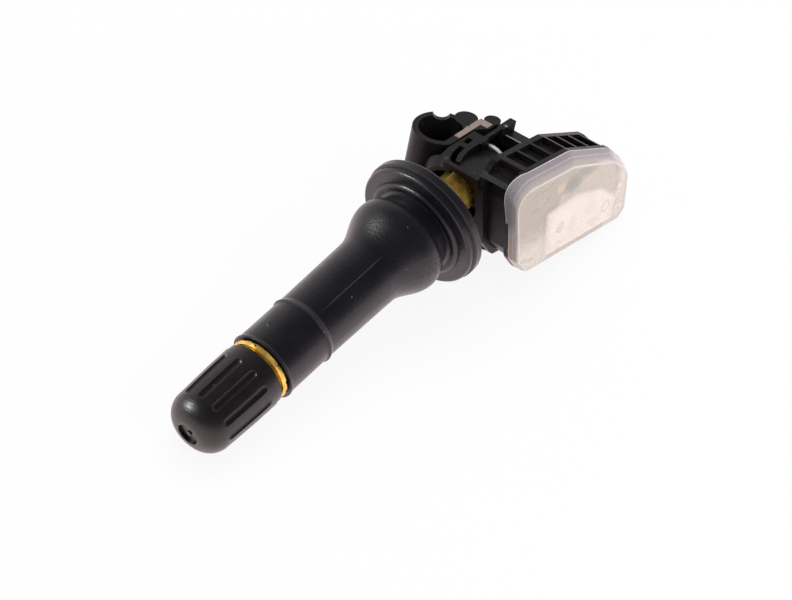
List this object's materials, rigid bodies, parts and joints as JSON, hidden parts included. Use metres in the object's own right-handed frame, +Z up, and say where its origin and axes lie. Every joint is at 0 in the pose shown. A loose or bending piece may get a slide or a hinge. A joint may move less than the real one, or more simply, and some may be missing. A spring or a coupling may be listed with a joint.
{
  "type": "tyre pressure sensor",
  "caption": "Snap-in rubber tyre valve with cap and spring valve core, screwed to a moulded sensor housing with a translucent lid.",
  "frame": {"origin": "centre of the bounding box's base, on the surface that the part lies on", "axes": "+Z up as it lies on its cap, the cup and the rear edge of the housing, +Y from the cap towards the housing, +X out of the lid's face"},
  "size_m": [0.0226, 0.0814, 0.0216],
  "materials": {
    "rubber_body": "satin moulded rubber",
    "brass_stem": "turned brass",
    "core_barrel": "turned brass",
    "core_gasket": "white sealing plastic",
    "core_pin": "drawn brass",
    "core_pin_seal": "rubber",
    "core_spring": "spring steel",
    "cap": "glossy black plastic",
    "cap_seal": "rubber",
    "housing": "glass-filled black nylon",
    "lid": "milky translucent plastic",
    "stem_screw": "plated steel",
    "circuit_board": "green solder mask",
    "coin_cell": "nickel-plated steel can",
    "cell_tab_front": "nickel strip",
    "cell_tab_rear": "nickel strip",
    "sensor_chip": "moulded package",
    "port_seal": "silicone rubber",
    "coil_core": "ferrite",
    "coil_winding": "enamelled copper wire",
    "crystal": "metal can",
    "antenna_loop": "tinned wire",
    "board_parts": "ceramic"
  },
  "bodies": {
    "sensor": {"rubber_body": "rubber_body", "brass_stem": "brass_stem", "core_barrel": "core_barrel", "core_gasket": "core_gasket", "core_spring": "core_spring", "housing": "housing", "lid": "lid", "stem_screw": "stem_screw", "circuit_board": "circuit_board", "coin_cell": "coin_cell", "cell_tab_front": "cell_tab_front", "cell_tab_rear": "cell_tab_rear", "sensor_chip": "sensor_chip", "port_seal": "port_seal", "coil_core": "coil_core", "coil_winding": "coil_winding", "crystal": "crystal", "antenna_loop": "antenna_loop", "board_parts": "board_parts"},
    "pin": {"core_pin": "core_pin", "core_pin_seal": "core_pin_seal"},
    "cap": {"cap": "cap", "cap_seal": "cap_seal"}
  },
  "joints": [
    {"name": "cap_pull", "type": "slide", "parent": "sensor", "child": "cap", "axis": [0, -0.9857, -0.1683], "range_m": [0, 0.014]},
    {"name": "pin_press", "type": "slide", "parent": "sensor", "child": "pin", "axis": [0, 0.9857, 0.1683], "range_m": [0, 0.0011], "stiffness_N_per_m": 1500, "springref_m": -0.0008, "deforming": ["core_spring"]}
  ]
}
